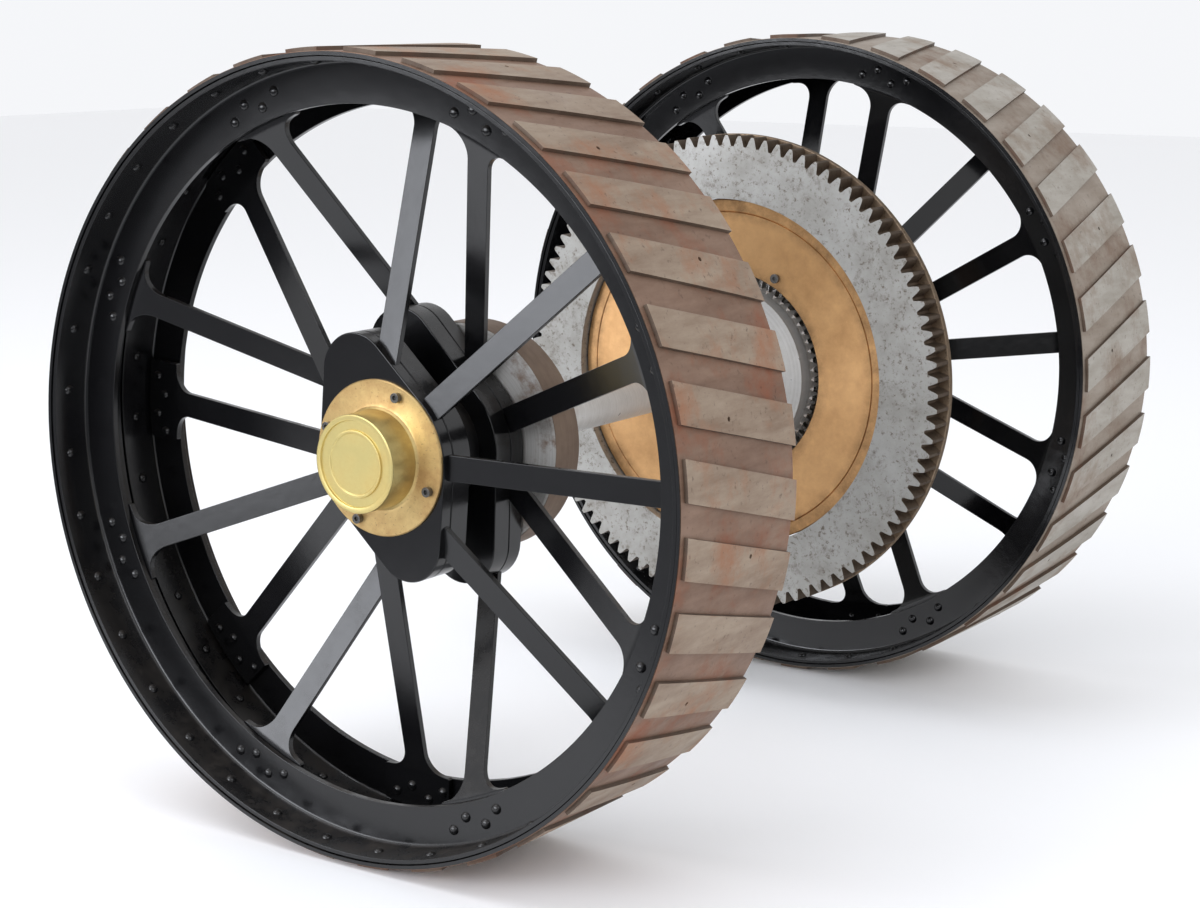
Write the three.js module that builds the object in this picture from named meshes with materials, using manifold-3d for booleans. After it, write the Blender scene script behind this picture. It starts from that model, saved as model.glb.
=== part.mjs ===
// Hind axle of a large model traction engine: two spoked road wheels with strakes, which turn on a
// plain axle, and a spur ring gear whose centre carries a bevel differential.
// Millimetres. The axle lies along Y, +Z is up and the origin is the middle of the axle.
// The near wheel is at -Y, the far wheel and the ring gear are at +Y.

import * as THREE from 'three';
import { mergeVertices } from 'three/addons/utils/BufferGeometryUtils.js';
import Module from 'manifold-3d';

const wasm = await Module();
wasm.setup();

// ---------------------------------------------------------------- driving dimensions

const SEAT_GAP = 0.3; // between pieces that touch on the real object
const RUN_GAP = 0.4; // between a shaft and the hole that turns on it

const HALF_WIDTH = 398; // middle of the axle to the outboard edge of either wheel

// Rim plate and strakes
const RIM_R = 300;
const RIM_WIDTH = 146;
const RIM_PLATE = 3.2;
const STRAKES = 36;
const STRAKE_THICK = 3.2;
const STRAKE_ARC = 5.6; // degrees round the rim
const STRAKE_STEPS = 2; // pieces a slanted strake is drawn in
const STRAKE_SLANT = 7; // degrees from one end of a strake to the other
const STRAKE_MARGIN = 4.5; // bare rim beyond the strakes, on one edge
const STRAKE_START = { near: 4.95, far: 2.05 }; // degrees, middle of the first strake at its -Y end

// T-section rings riveted inside the rim plate, one near each edge
const RING_FLANGE = 3.4;
const RING_FLANGE_WIDTH = 71;
const RING_WEB = 5;
const RING_WEB_DEPTH = 31;
const RING_EDGE = 1; // flange edge to rim edge

// Spokes
const SPOKES_PER_RING = 8;
const SPOKE_WIDTH = 19.5;
const SPOKE_THICK = 5;
const SPOKE_FOOT_DEPTH = 12; // how far a spoke runs into the edge of its hub plate
const PALM_LAP = 1;
const PALM_HALF_WIDTH = 32;
const PALM_FILLET = 17;
const PALM_INNER_R = 259; // where the sloping shank turns into the flat palm
const PALM_OUTER_R = 289.5;
const SPOKE_PHASE = { // degrees, first spoke of the row that goes to the inner and the outer T ring
  near: { inner: -2.2, outer: 21.15 },
  far: { inner: 28.4, outer: 50.9 },
};

// Hub, measured inboard from the outboard edge of the rim
const HUB_LOBE_R = 31.2;
const HUB_PLATE = { // seat is the middle of a spoke where it leaves the edge of the plate
  outboard: { centreR: 60, lobeOffset: 65.4, from: 53, to: 85, seat: 61.7 },
  inboard: { centreR: 62.5, lobeOffset: 78.6, from: 113, to: 147, seat: 134 },
};
const HUB_COVER = 11.3; // the share of the outboard plate that comes off
const HUB_NECK_R = 46;
const HUB_FACE = HUB_PLATE.outboard.from;
const HUB_LENGTH = 96; // with the end of the bush, which stands out at the inboard side
const BUSH_R = 24;

// Axle, caps and nuts
const AXLE_R = 17.5;
const CAP_R = 37.1;
const CAP_HEIGHT = 30.3;
const CAP_WALL = 3.6;
const CAP_FLANGE_R = 59.4;
const CAP_FLANGE = 2.5;
const CAP_CHAMFER = 2;
const NUT_R = 27;
const NUT_LENGTH = 14.7;
const AXLE_END_SHORT_OF_NUT = -2; // the axle's end stands this far inside the nut's outer face

// Driving discs beside the hubs
const DISC_R = 90.7;
const DISC_THICK = 32.5;
const DISC_CHAMFER = 1.2;

// Ring gear: 6 teeth to the inch of diameter
const INCH = 25.4;
const GEAR_TEETH = 100;
const GEAR_PITCH_PER_INCH = 6;
const GEAR_FACE_Y = 138.7; // face towards the near wheel
const GEAR_THICK = 28;
const GEAR_SHROUD = 6.5; // plain rim that closes the back of the teeth
const GEAR_SHROUD_STAND = 0.2; // how far it stands out past their tips
const GEAR_BORE_R = 159;
const GEAR_TIP_ARC = 0.25; // share of the pitch at the tip of a tooth
const GEAR_ROOT_ARC = 0.7; // share of the pitch at its root

// Gear centre
const CENTRE_RECESS = 9.3;
const COVER_THICK = 8;
const COVER_BORE_R = 92.5;
const DRUM_WALL = 29;
const DRUM_END_Y = 204.7;

// Differential bevels
const PINIONS = 3;
const SIDE_TEETH = 60;
const PINION_TEETH = 14;
const BEVEL_Y = 180.5; // plane of the pinion axes
const SIDE_PITCH_R = 84;
const BEVEL_FACE = 21;
const TOOTH_ADDENDUM = 2.2;
const TOOTH_DEDENDUM = 3.1;
const TOOTH_TIP_ARC = 0.2;
const TOOTH_ROOT_ARC = 0.58;
const SIDE_RIM_R = 80.8;
const SIDE_BACKING = 2; // metal behind the roots of the side gears' teeth
const SIDE_HUB_R = 32;
const PIN_R = 7;
const PINION_BACK_R = 10;
const PINION_BACK_AT = 91;
const SPIDER_R = 32;
const SPIDER_HALF = 11.7;

// Facets on round pieces
const COARSE = 24;
const MEDIUM = 36;
const FINE = 72;
const HUB_ARC = 4;

// ---------------------------------------------------------------- materials

const blackPaint = new THREE.MeshStandardMaterial({ color: 0x101012, roughness: 0.35, metalness: 0.1 });
const rustySteel = new THREE.MeshStandardMaterial({ color: 0x9c8672, roughness: 0.75, metalness: 0.5 });
const greySteel = new THREE.MeshStandardMaterial({ color: 0x9d9c98, roughness: 0.5, metalness: 0.8 });
const brightSteel = new THREE.MeshStandardMaterial({ color: 0xb9b8b4, roughness: 0.3, metalness: 0.95 });
const yellowBrass = new THREE.MeshStandardMaterial({ color: 0xc4a254, roughness: 0.35, metalness: 0.9 });
const bronze = new THREE.MeshStandardMaterial({ color: 0xb48a55, roughness: 0.45, metalness: 0.85 });
const castIron = new THREE.MeshStandardMaterial({ color: 0x4a4744, roughness: 0.7, metalness: 0.5 });

// ---------------------------------------------------------------- geometry helpers

const rad = THREE.MathUtils.degToRad;

// A point on a circle round the Y axis, in the plane of a plate: angles run from +X towards +Z.
function polar(radius, degrees) {
  return new THREE.Vector2(radius * Math.cos(rad(degrees)), radius * Math.sin(rad(degrees)));
}

function toSolid(geometry) {
  const bare = geometry.clone();
  bare.deleteAttribute('normal');
  bare.deleteAttribute('uv');
  const merged = mergeVertices(bare, 1e-4);
  const triVerts = new Uint32Array(merged.index.array);
  const vertProperties = new Float32Array(merged.attributes.position.array);
  const solid = new wasm.Manifold(new wasm.Mesh({ numProp: 3, vertProperties, triVerts }));
  if (solid.volume() > 0) return solid;
  for (let i = 0; i < triVerts.length; i += 3) {
    [triVerts[i + 1], triVerts[i + 2]] = [triVerts[i + 2], triVerts[i + 1]];
  }
  return new wasm.Manifold(new wasm.Mesh({ numProp: 3, vertProperties, triVerts }));
}

function toGeometry(solid) {
  const mesh = solid.getMesh();
  const geometry = new THREE.BufferGeometry();
  geometry.setAttribute('position', new THREE.BufferAttribute(mesh.vertProperties, 3));
  geometry.setIndex(new THREE.BufferAttribute(mesh.triVerts, 1));
  geometry.computeVertexNormals();
  return geometry;
}

// A solid of revolution round the Y axis from [radius, y] points, which close on themselves.
function revolve(points, segments) {
  const outline = [...points, points[0]].map(([r, y]) => new THREE.Vector2(r, y));
  return toSolid(new THREE.LatheGeometry(outline, segments));
}

// The same, for an outline that starts and ends on the axis.
function turn(points, segments) {
  return toSolid(new THREE.LatheGeometry(points.map(([r, y]) => new THREE.Vector2(r, y)), segments));
}

function rod(radius, yLow, yHigh, segments) {
  return turn([[0, yLow], [radius, yLow], [radius, yHigh], [0, yHigh]], segments);
}

// A flat plate square to the axle, from a Shape drawn in X and Z.
function plateGeometry(shape, yLow, yHigh, curveSegments) {
  const depth = yHigh - yLow;
  const geometry = new THREE.ExtrudeGeometry(shape, { depth, curveSegments, bevelEnabled: false });
  geometry.rotateX(Math.PI / 2);
  geometry.translate(0, yHigh, 0);
  return geometry;
}

function plate(shape, yLow, yHigh, curveSegments) {
  return toSolid(plateGeometry(shape, yLow, yHigh, curveSegments));
}

// A loop of points round the Y axis: corners are [radius, y, degrees], and are repeated round it.
function loop(corners, repeats) {
  const points = [];
  for (let k = 0; k < repeats; k += 1) {
    for (const [radius, y, degrees] of corners) {
      const { x, y: z } = polar(radius, degrees + (k * 360) / repeats);
      points.push([x, y, z]);
    }
  }
  return points;
}

// Skins a row of loops, and the last one back to the first. Of two neighbouring loops, one has a
// whole multiple of the other's points.
function loft(loops) {
  const starts = loops.map((_, k) => loops.slice(0, k).reduce((sum, points) => sum + points.length, 0));
  const faces = [];
  for (let k = 0; k < loops.length; k += 1) {
    const next = (k + 1) % loops.length;
    const flip = loops[k].length < loops[next].length;
    const [many, few] = flip ? [next, k] : [k, next];
    const manyCount = loops[many].length;
    const fewCount = loops[few].length;
    const partner = (i) => starts[few] + (Math.round((i * fewCount) / manyCount) % fewCount);
    for (let i = 0; i < manyCount; i += 1) {
      const here = starts[many] + i;
      const ahead = starts[many] + ((i + 1) % manyCount);
      const corners = [[here, ahead, partner(i)]];
      if (partner(i) !== partner(i + 1)) corners.push([partner(i), ahead, partner(i + 1)]);
      for (const [one, two, three] of corners) faces.push(...(flip ? [two, one, three] : [one, two, three]));
    }
  }
  const geometry = new THREE.BufferGeometry();
  geometry.setAttribute('position', new THREE.Float32BufferAttribute(loops.flat(2), 3));
  geometry.setIndex(faces);
  return toSolid(geometry);
}

const part = new THREE.Group();

function add(name, solid, material, group = part) {
  const mesh = new THREE.Mesh(toGeometry(solid), material);
  mesh.name = name;
  group.add(mesh);
  return mesh;
}

// ---------------------------------------------------------------- wheels

// Inboard distance from a wheel's outboard edge, as a Y range in rising order.
function span(side, from, to) {
  const ends = [side * (HALF_WIDTH - from), side * (HALF_WIDTH - to)];
  return ends.sort((a, b) => a - b);
}

// The rim plate with its strakes riveted on. The bare margin is on the -Y edge of both wheels.
function rim(side, startAngle) {
  const [yLow, yHigh] = span(side, 0, RIM_WIDTH);
  const strakeLow = yLow + STRAKE_MARGIN;
  const half = STRAKE_ARC / 2;
  const pitch = 360 / STRAKES;
  const top = RIM_R + STRAKE_THICK;
  const plain = (radius, y, angle) => loop([[radius, y, angle - pitch / 2], [radius, y, angle]], STRAKES);
  const straked = (y, angle) => loop([
    [RIM_R, y, angle - half],
    [top, y, angle - half],
    [top, y, angle + half],
    [RIM_R, y, angle + half],
  ], STRAKES);
  const rows = [];
  for (let step = 0; step <= STRAKE_STEPS; step += 1) {
    const share = step / STRAKE_STEPS;
    const y = strakeLow + share * (yHigh - strakeLow);
    rows.push(straked(y, startAngle + share * side * STRAKE_SLANT));
  }
  const endAngle = startAngle + side * STRAKE_SLANT;
  const thick = loft([
    plain(RIM_R - 3 * RIM_PLATE, yLow, startAngle),
    plain(RIM_R, yLow, startAngle),
    plain(RIM_R, strakeLow, startAngle),
    ...rows,
    plain(RIM_R - 3 * RIM_PLATE, yHigh, endAngle),
  ]);
  return thick.subtract(rod(RIM_R - RIM_PLATE, yLow - 1, yHigh + 1, FINE));
}

const RING_OUTER_R = (RIM_R - RIM_PLATE) * Math.cos(Math.PI / FINE) - SEAT_GAP;
const RING_WEB_TOP_R = RING_OUTER_R - RING_FLANGE;
const RING_WEB_MIDDLE = RING_EDGE + RING_FLANGE_WIDTH / 2;

// A T ring whose flange starts at a distance inboard of the wheel's outboard edge.
function tRing(side, flangeStart) {
  const webMiddle = flangeStart + RING_FLANGE_WIDTH / 2;
  const [low, high] = span(side, flangeStart, flangeStart + RING_FLANGE_WIDTH);
  const [webLow, webHigh] = span(side, webMiddle - RING_WEB / 2, webMiddle + RING_WEB / 2);
  const webInner = RING_WEB_TOP_R - RING_WEB_DEPTH;
  return revolve([
    [RING_OUTER_R, low],
    [RING_OUTER_R, high],
    [RING_WEB_TOP_R, high],
    [RING_WEB_TOP_R, webHigh],
    [webInner, webHigh],
    [webInner, webLow],
    [RING_WEB_TOP_R, webLow],
    [RING_WEB_TOP_R, low],
  ], MEDIUM);
}

// The palm of a spoke along +X, with a tongue that laps the end of its shank.
function palmShape() {
  const tongue = SPOKE_WIDTH / 2 + PALM_FILLET;
  const spread = Math.asin(PALM_HALF_WIDTH / PALM_OUTER_R);
  const shape = new THREE.Shape();
  shape.moveTo(PALM_INNER_R - PALM_LAP, -tongue);
  shape.lineTo(PALM_INNER_R, -tongue);
  shape.lineTo(PALM_INNER_R, -PALM_HALF_WIDTH);
  shape.absarc(0, 0, PALM_OUTER_R, -spread, spread, false);
  shape.lineTo(PALM_INNER_R, PALM_HALF_WIDTH);
  shape.lineTo(PALM_INNER_R, tongue);
  shape.lineTo(PALM_INNER_R - PALM_LAP, tongue);
  return shape;
}

// The shank of a spoke along +X, from its foot in the hub to its palm, where it widens.
function shankShape(footR, half) {
  const filletAt = PALM_INNER_R - PALM_FILLET;
  const shape = new THREE.Shape();
  shape.moveTo(footR, half);
  shape.lineTo(footR, -half);
  shape.absarc(filletAt, -half - PALM_FILLET, PALM_FILLET, Math.PI / 2, 0, true);
  shape.absarc(filletAt, half + PALM_FILLET, PALM_FILLET, 0, -Math.PI / 2, true);
  return shape;
}

// A flat shank sheared along the axle, so that its ends stay square to the wheel.
function shank(place, extra) {
  const slope = (place.palmY - place.seatY) / (PALM_INNER_R - place.edgeR);
  const shape = shankShape(place.edgeR - SPOKE_FOOT_DEPTH - extra, SPOKE_WIDTH / 2 + extra);
  const half = SPOKE_THICK / 2 + extra;
  const bar = plateGeometry(shape, place.palmY - half, place.palmY + half, 2);
  const position = bar.attributes.position;
  for (let i = 0; i < position.count; i += 1) {
    position.setY(i, position.getY(i) - slope * (PALM_INNER_R - position.getX(i)));
  }
  return toSolid(bar);
}

// Where the straight sides of a hub plate touch its lobes, as the direction they face.
function hubTangent(size) {
  return Math.acos((size.centreR - HUB_LOBE_R) / size.lobeOffset);
}

// How far a hub plate reaches in a direction measured from the middle of one of its lobes.
function hubEdge(size, degrees) {
  const tangent = hubTangent(size);
  const off = Math.acos(Math.abs(Math.cos(rad(degrees))));
  if (off >= tangent) return size.centreR;
  const touch = Math.atan2(HUB_LOBE_R * Math.sin(tangent), size.lobeOffset + HUB_LOBE_R * Math.cos(tangent));
  if (off >= touch) return size.centreR / Math.cos(tangent - off);
  const aside = size.lobeOffset * Math.sin(off);
  return size.lobeOffset * Math.cos(off) + Math.sqrt(HUB_LOBE_R ** 2 - aside ** 2);
}

// A row of spokes from a hub plate to the web of the T ring on the other side of the wheel.
function spokeRow(label, side, size, palm, phase, lobeAngle) {
  const row = [];
  for (let k = 0; k < SPOKES_PER_RING; k += 1) {
    const angle = phase + (k * 360) / SPOKES_PER_RING;
    row.push({
      name: `${label}_spoke_${k + 1}`,
      angle,
      edgeR: hubEdge(size, angle - lobeAngle),
      seatY: side * (HALF_WIDTH - size.seat),
      palmY: side * (HALF_WIDTH - palm),
    });
  }
  return row;
}

function spoke(place) {
  const palm = plate(palmShape(), place.palmY - SPOKE_THICK / 2, place.palmY + SPOKE_THICK / 2, 2);
  return shank(place, 0).add(palm);
}

function hubShape(size, lobeAngle) {
  const tangent = hubTangent(size);
  const turned = rad(lobeAngle);
  const lobe = polar(size.lobeOffset, lobeAngle);
  const shape = new THREE.Shape();
  shape.absarc(lobe.x, lobe.y, HUB_LOBE_R, turned - tangent, turned + tangent, false);
  shape.absarc(0, 0, size.centreR, turned + tangent, turned + Math.PI - tangent, false);
  shape.absarc(-lobe.x, -lobe.y, HUB_LOBE_R, turned + Math.PI - tangent, turned + Math.PI + tangent, false);
  shape.absarc(0, 0, size.centreR, turned + Math.PI + tangent, turned + 2 * Math.PI - tangent, false);
  return shape;
}

const HUB_BORE_R = (BUSH_R + SEAT_GAP) / Math.cos(Math.PI / COARSE);

// Cuts a slot for each spoke of a row, opened along the axle by a distance that may be 0.
function slotted(solid, spokes, open) {
  let result = solid;
  for (const place of spokes) {
    const slot = shank(place, SEAT_GAP).rotate([0, -place.angle, 0]);
    result = result.subtract(slot).subtract(slot.translate([0, open, 0]));
  }
  return result;
}

function hubPlate(side, size, from, to, lobeAngle) {
  return plate(hubShape(size, lobeAngle), ...span(side, from, to), HUB_ARC);
}

// The two plates and the neck between them. The spokes of the outboard plate lie in its front.
function hubCasting(side, lobeAngle, toInner, toOuter) {
  const { outboard, inboard } = HUB_PLATE;
  const casting = hubPlate(side, outboard, outboard.from + HUB_COVER + SEAT_GAP, outboard.to, lobeAngle)
    .add(hubPlate(side, inboard, inboard.from, inboard.to, lobeAngle))
    .add(rod(HUB_NECK_R, ...span(side, outboard.to - 1, inboard.from + 1), COARSE))
    .subtract(rod(HUB_BORE_R, ...span(side, outboard.from, inboard.to + 1), COARSE));
  return slotted(slotted(casting, toOuter, 0), toInner, side * SPOKE_THICK);
}

// The front of the outboard plate. Its slots are open at the back, where the casting closes them.
function hubCover(side, lobeAngle, toInner) {
  const { outboard } = HUB_PLATE;
  const cover = hubPlate(side, outboard, outboard.from, outboard.from + HUB_COVER, lobeAngle)
    .subtract(rod(HUB_BORE_R, ...span(side, 0, outboard.to), COARSE));
  return slotted(cover, toInner, -side * SPOKE_THICK);
}

function tube(innerR, outerR, yLow, yHigh, segments) {
  return revolve([[innerR, yLow], [outerR, yLow], [outerR, yHigh], [innerR, yHigh]], segments);
}

const BUSH_BORE_R = (AXLE_R + RUN_GAP) / Math.cos(Math.PI / COARSE);

function hubBush(side) {
  return tube(BUSH_BORE_R, BUSH_R, ...span(side, HUB_FACE, HUB_FACE + HUB_LENGTH), COARSE);
}

function hubCap(side) {
  const at = (distance) => side * (HALF_WIDTH - distance);
  const flangeBack = HUB_FACE - SEAT_GAP;
  const front = flangeBack - CAP_HEIGHT;
  const inner = CAP_R - CAP_WALL;
  return turn([
    [0, at(front)],
    [CAP_R - CAP_CHAMFER, at(front)],
    [CAP_R, at(front + CAP_CHAMFER)],
    [CAP_R, at(flangeBack - CAP_FLANGE)],
    [CAP_FLANGE_R, at(flangeBack - CAP_FLANGE)],
    [CAP_FLANGE_R, at(flangeBack)],
    [inner, at(flangeBack)],
    [inner, at(front + CAP_WALL)],
    [0, at(front + CAP_WALL)],
  ], MEDIUM);
}

function wheel(label, side) {
  const phase = SPOKE_PHASE[label];
  const lobeAngle = phase.outer + 90;
  const stand = RING_WEB_MIDDLE + RING_WEB / 2 + SEAT_GAP + SPOKE_THICK / 2;
  const { outboard, inboard } = HUB_PLATE;
  const toInner = spokeRow('inner_ring', side, outboard, RIM_WIDTH - stand, phase.inner, lobeAngle);
  const toOuter = spokeRow('outer_ring', side, inboard, stand, phase.outer, lobeAngle);
  add(`${label}_rim`, rim(side, STRAKE_START[label]), rustySteel);
  add(`${label}_outer_t_ring`, tRing(side, RING_EDGE), blackPaint);
  add(`${label}_inner_t_ring`, tRing(side, RIM_WIDTH - RING_EDGE - RING_FLANGE_WIDTH), blackPaint);
  for (const place of [...toInner, ...toOuter]) {
    const mesh = add(`${label}_${place.name}`, spoke(place), blackPaint);
    mesh.rotation.y = -rad(place.angle);
  }
  add(`${label}_hub`, hubCasting(side, lobeAngle, toInner, toOuter), blackPaint);
  add(`${label}_hub_cover`, hubCover(side, lobeAngle, toInner), blackPaint);
  add(`${label}_hub_bush`, hubBush(side), bronze);
  add(`${label}_hub_cap`, hubCap(side), yellowBrass);
}

wheel('near', -1);
wheel('far', 1);

// ---------------------------------------------------------------- axle and driving discs

const KEYED_BORE_R = (AXLE_R + SEAT_GAP) / Math.cos(Math.PI / COARSE);
const NUT_INNER_FACE = HUB_FACE - SEAT_GAP;
const NUT_OUTER_FACE = NUT_INNER_FACE - NUT_LENGTH;
const AXLE_HALF = HALF_WIDTH - NUT_OUTER_FACE + AXLE_END_SHORT_OF_NUT;

add('axle', rod(AXLE_R, -AXLE_HALF, AXLE_HALF, COARSE), brightSteel);
for (const [label, side] of [['near', -1], ['far', 1]]) {
  const [low, high] = span(side, NUT_OUTER_FACE, NUT_INNER_FACE);
  add(`${label}_axle_nut`, tube(KEYED_BORE_R, NUT_R, low, high, COARSE), greySteel);
}

function drivingDisc(side, boreR) {
  const start = HUB_FACE + HUB_LENGTH + SEAT_GAP;
  const [low, high] = span(side, start, start + DISC_THICK);
  return revolve([
    [boreR, low],
    [DISC_R - DISC_CHAMFER, low],
    [DISC_R, low + DISC_CHAMFER],
    [DISC_R, high - DISC_CHAMFER],
    [DISC_R - DISC_CHAMFER, high],
    [boreR, high],
  ], MEDIUM);
}

// The bores have fewer facets than the rims, so they are cut out afterwards.
function bored(solid, boreR) {
  return solid.subtract(rod(boreR, -HALF_WIDTH, HALF_WIDTH, COARSE));
}

add('near_driving_disc', bored(drivingDisc(-1, AXLE_R), KEYED_BORE_R), greySteel);
add('far_driving_disc', bored(drivingDisc(1, AXLE_R), BUSH_BORE_R), greySteel);

// ---------------------------------------------------------------- ring gear and its centre

const GEAR_TIP_R = ((GEAR_TEETH + 2) * INCH) / GEAR_PITCH_PER_INCH / 2;

function gearShape() {
  const rootR = ((GEAR_TEETH - 2.5) * INCH) / GEAR_PITCH_PER_INCH / 2;
  const pitch = 360 / GEAR_TEETH;
  const points = [];
  for (let k = 0; k < GEAR_TEETH; k += 1) {
    const middle = k * pitch;
    points.push(polar(rootR, middle - (pitch * GEAR_ROOT_ARC) / 2));
    points.push(polar(GEAR_TIP_R, middle - (pitch * GEAR_TIP_ARC) / 2));
    points.push(polar(GEAR_TIP_R, middle + (pitch * GEAR_TIP_ARC) / 2));
    points.push(polar(rootR, middle + (pitch * GEAR_ROOT_ARC) / 2));
  }
  return new THREE.Shape(points);
}

const GEAR_BACK_Y = GEAR_FACE_Y + GEAR_THICK;
const COVER_Y = GEAR_FACE_Y + CENTRE_RECESS;
const DRUM_Y = COVER_Y + COVER_THICK + SEAT_GAP;
const DRUM_BORE_R = COVER_BORE_R;
const CENTRE_R = GEAR_BORE_R * Math.cos(Math.PI / MEDIUM) - SEAT_GAP;

const ringGear = plate(gearShape(), GEAR_FACE_Y, GEAR_BACK_Y - GEAR_SHROUD / 2, 1)
  .add(rod(GEAR_TIP_R + GEAR_SHROUD_STAND, GEAR_BACK_Y - GEAR_SHROUD, GEAR_BACK_Y, GEAR_TEETH))
  .subtract(rod(GEAR_BORE_R, GEAR_FACE_Y - 1, GEAR_BACK_Y + 1, MEDIUM));
add('ring_gear', ringGear, greySteel);
add('gear_centre_cover', tube(COVER_BORE_R, CENTRE_R, COVER_Y, COVER_Y + COVER_THICK, MEDIUM), bronze);

// A drum behind the cover that the pins of the spider pass into.
let drum = revolve([
  [DRUM_BORE_R, DRUM_Y],
  [CENTRE_R, DRUM_Y],
  [CENTRE_R, GEAR_BACK_Y],
  [DRUM_BORE_R + DRUM_WALL, GEAR_BACK_Y],
  [DRUM_BORE_R + DRUM_WALL, DRUM_END_Y],
  [DRUM_BORE_R, DRUM_END_Y],
], MEDIUM);

// ---------------------------------------------------------------- bevel differential

const PIN_FACETS = 12;
const PIN_LENGTH = DRUM_BORE_R + DRUM_WALL - 1;
const PIN_HOLE_R = (PIN_R + SEAT_GAP) / Math.cos(Math.PI / PIN_FACETS);

function pinionAngle(k) {
  return (k * 360) / PINIONS;
}

// A round bar along a radius of the axle, in the plane of the pinions.
function radialBar(radius, from, to, angle) {
  return rod(radius, from, to, PIN_FACETS)
    .rotate([0, 0, -90])
    .translate([0, BEVEL_Y, 0])
    .rotate([0, -angle, 0]);
}

let spider = tube(AXLE_R + 2 * RUN_GAP, SPIDER_R, BEVEL_Y - SPIDER_HALF, BEVEL_Y + SPIDER_HALF, COARSE);
for (let k = 0; k < PINIONS; k += 1) {
  spider = spider.add(radialBar(PIN_R, SPIDER_R - PIN_R, PIN_LENGTH, pinionAngle(k)));
  drum = drum.subtract(radialBar(PIN_HOLE_R, SPIDER_R, PIN_LENGTH + DRUM_WALL, pinionAngle(k)));
}
add('gear_centre_drum', drum, castIron);
add('differential_spider', spider, castIron);

// Both bevels are drawn with the apex of their cones at the origin.
const PINION_PITCH_R = (SIDE_PITCH_R * PINION_TEETH) / SIDE_TEETH;
const CONE_LENGTH = Math.hypot(SIDE_PITCH_R, PINION_PITCH_R);
const SMALL_END = (CONE_LENGTH - BEVEL_FACE) / CONE_LENGTH;
const SIDE_CONE = Math.atan2(SIDE_PITCH_R, PINION_PITCH_R);

// A point at a height above the pitch cone, at the large end of a tooth: [radius, distance from apex].
function coneEdge(coneAngle, height) {
  return [
    CONE_LENGTH * Math.sin(coneAngle) + height * Math.cos(coneAngle),
    CONE_LENGTH * Math.cos(coneAngle) - height * Math.sin(coneAngle),
  ];
}

// One end of a ring of straight bevel teeth that taper towards the apex.
function toothLoop(coneAngle, teeth, firstTooth, scale) {
  const pitch = 360 / teeth;
  const [rootR, rootAt] = coneEdge(coneAngle, -TOOTH_DEDENDUM).map((value) => value * scale);
  const [tipR, tipAt] = coneEdge(coneAngle, TOOTH_ADDENDUM).map((value) => value * scale);
  return loop([
    [rootR, rootAt, firstTooth - (TOOTH_ROOT_ARC * pitch) / 2],
    [tipR, tipAt, firstTooth - (TOOTH_TIP_ARC * pitch) / 2],
    [tipR, tipAt, firstTooth + (TOOTH_TIP_ARC * pitch) / 2],
    [rootR, rootAt, firstTooth + (TOOTH_ROOT_ARC * pitch) / 2],
  ], teeth);
}

// A bevel gear whose back is the outline from its bore to the large end of its teeth, and whose
// front is the outline from the small end back to its bore.
function bevelGear(coneAngle, teeth, firstTooth, back, front) {
  const gap = firstTooth - 180 / teeth;
  return loft([
    ...back.map(([radius, y]) => loop([[radius, y, gap]], teeth)),
    toothLoop(coneAngle, teeth, firstTooth, 1),
    toothLoop(coneAngle, teeth, firstTooth, SMALL_END),
    ...front.map(([radius, y]) => loop([[radius, y, gap]], teeth)),
  ]);
}

// A side gear with its back at +Y of the apex and its teeth facing the apex.
function sideGear(backDistance, hubDistance, boreR) {
  const largeEnd = coneEdge(SIDE_CONE, -TOOTH_DEDENDUM)[1] + SIDE_BACKING;
  const back = [[boreR, backDistance], [SIDE_RIM_R, backDistance], [SIDE_RIM_R, largeEnd]];
  const front = [[SIDE_HUB_R, hubDistance], [boreR, hubDistance]];
  return bevelGear(SIDE_CONE, SIDE_TEETH, 180 / SIDE_TEETH, back, front);
}

const SPIDER_CLEAR = SPIDER_HALF + SEAT_GAP;
const nearBack = BEVEL_Y - GEAR_FACE_Y - 0.7;
const farBack = HALF_WIDTH - HUB_FACE - HUB_LENGTH - DISC_THICK - 2 * SEAT_GAP - BEVEL_Y;
const nearSideGear = sideGear(nearBack, SPIDER_CLEAR, KEYED_BORE_R).mirror([0, 1, 0]);
add('near_side_gear', nearSideGear.translate([0, BEVEL_Y, 0]), brightSteel);
add('far_side_gear', sideGear(farBack, SPIDER_CLEAR, BUSH_BORE_R).translate([0, BEVEL_Y, 0]), brightSteel);

function pinion() {
  const coneAngle = Math.PI / 2 - SIDE_CONE;
  const boreR = (PIN_R + RUN_GAP) / Math.cos(Math.PI / PINION_TEETH);
  const rootAt = coneEdge(coneAngle, -TOOTH_DEDENDUM)[1];
  const back = [[boreR, PINION_BACK_AT], [PINION_BACK_R, PINION_BACK_AT], [PINION_BACK_R, rootAt]];
  const front = [[boreR, rootAt * SMALL_END]];
  return bevelGear(coneAngle, PINION_TEETH, 0, back, front);
}

for (let k = 0; k < PINIONS; k += 1) {
  const placed = pinion()
    .rotate([0, 0, -90])
    .translate([0, BEVEL_Y, 0])
    .rotate([0, -pinionAngle(k), 0]);
  add(`bevel_pinion_${k + 1}`, placed, brightSteel);
}

export default part;
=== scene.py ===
"""Looks of the traction engine axle and wheel set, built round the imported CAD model.

Lengths are in millimetres until a mesh is made, but the floor, lights and camera are in metres.
The axle lies along Y, and the near wheel is at -Y.
"""

import math
import random

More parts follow.
